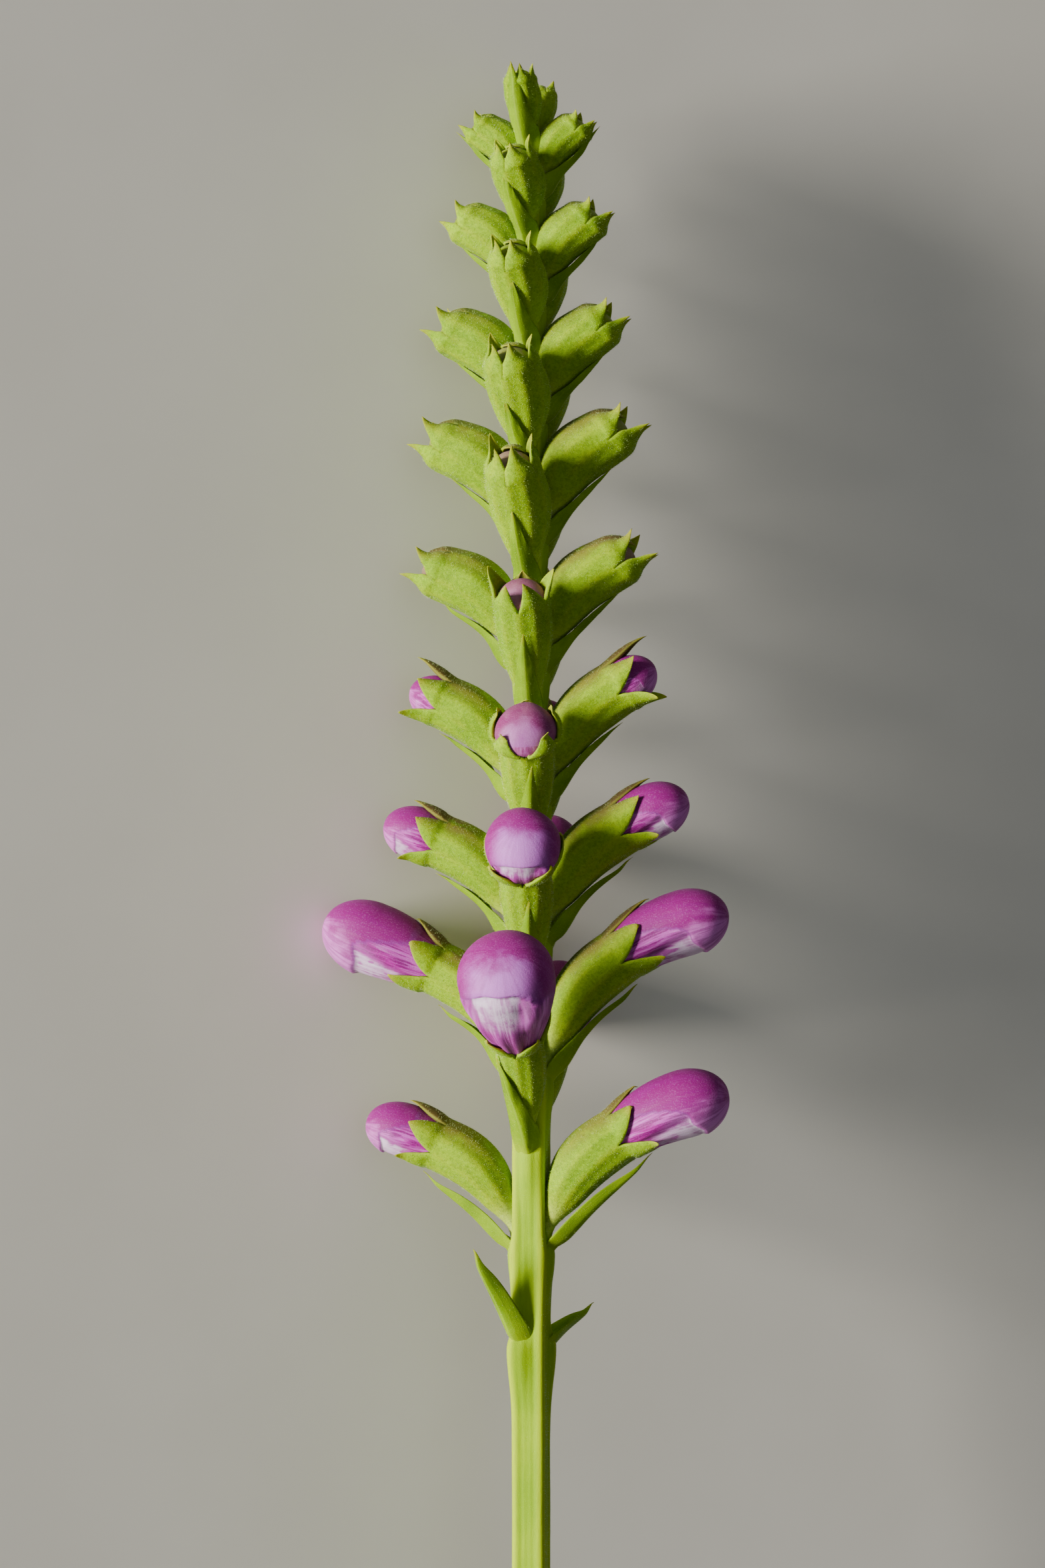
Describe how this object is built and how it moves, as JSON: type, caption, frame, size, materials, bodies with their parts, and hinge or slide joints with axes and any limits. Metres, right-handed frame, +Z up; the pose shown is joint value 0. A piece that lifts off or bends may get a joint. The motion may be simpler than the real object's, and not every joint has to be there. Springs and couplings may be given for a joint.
{
  "type": "obedient plant stem",
  "caption": "Cut stem of obedient plant: square stem with rows of green toothed calyces over bracts, the lower ones holding purple buds, lying down.",
  "frame": {"origin": "middle of the box's bottom face, on the surface that the cut stem lies on", "axes": "+Y along the stem from the cut end to the tip, +Z up, away from the surface; the front row of blooms points up and to -X"},
  "size_m": [0.0212, 0.1034, 0.0187],
  "materials": {
    "stem_green": "fresh green stem and bracts, satin, with paler ridges",
    "calyx_green": "fresh green calyx, matt, with fine short hairs",
    "corolla_purple": "magenta to lilac petals, satin, with a white lower lip"
  },
  "bodies": {
    "root": {"calyx_back_1": "calyx_green", "calyx_back_2": "calyx_green", "calyx_back_3": "calyx_green", "calyx_back_4": "calyx_green", "calyx_back_5": "calyx_green", "calyx_back_6": "calyx_green", "calyx_back_7": "calyx_green", "calyx_back_8": "calyx_green", "calyx_back_9": "calyx_green", "calyx_front_1": "calyx_green", "calyx_front_2": "calyx_green", "calyx_front_3": "calyx_green", "calyx_front_4": "calyx_green", "calyx_front_5": "calyx_green", "calyx_front_6": "calyx_green", "calyx_front_7": "calyx_green", "calyx_front_8": "calyx_green", "calyx_front_9": "calyx_green", "calyx_left_1": "calyx_green", "calyx_left_2": "calyx_green", "calyx_left_3": "calyx_green", "calyx_left_4": "calyx_green", "calyx_left_5": "calyx_green", "calyx_left_6": "calyx_green", "calyx_left_7": "calyx_green", "calyx_left_8": "calyx_green", "calyx_left_9": "calyx_green", "calyx_right_1": "calyx_green", "calyx_right_2": "calyx_green", "calyx_right_3": "calyx_green", "calyx_right_4": "calyx_green", "calyx_right_5": "calyx_green", "calyx_right_6": "calyx_green", "calyx_right_7": "calyx_green", "calyx_right_8": "calyx_green", "calyx_right_9": "calyx_green", "corolla_back_1": "corolla_purple", "corolla_back_2": "corolla_purple", "corolla_back_3": "corolla_purple", "corolla_back_4": "corolla_purple", "corolla_back_5": "corolla_purple", "corolla_front_1": "corolla_purple", "corolla_front_2": "corolla_purple", "corolla_front_3": "corolla_purple", "corolla_front_4": "corolla_purple", "corolla_front_5": "corolla_purple", "corolla_left_1": "corolla_purple", "corolla_left_2": "corolla_purple", "corolla_left_3": "corolla_purple", "corolla_left_4": "corolla_purple", "corolla_right_1": "corolla_purple", "corolla_right_2": "corolla_purple", "corolla_right_3": "corolla_purple", "corolla_right_4": "corolla_purple", "stem": "stem_green"}
  },
  "joints": []
}
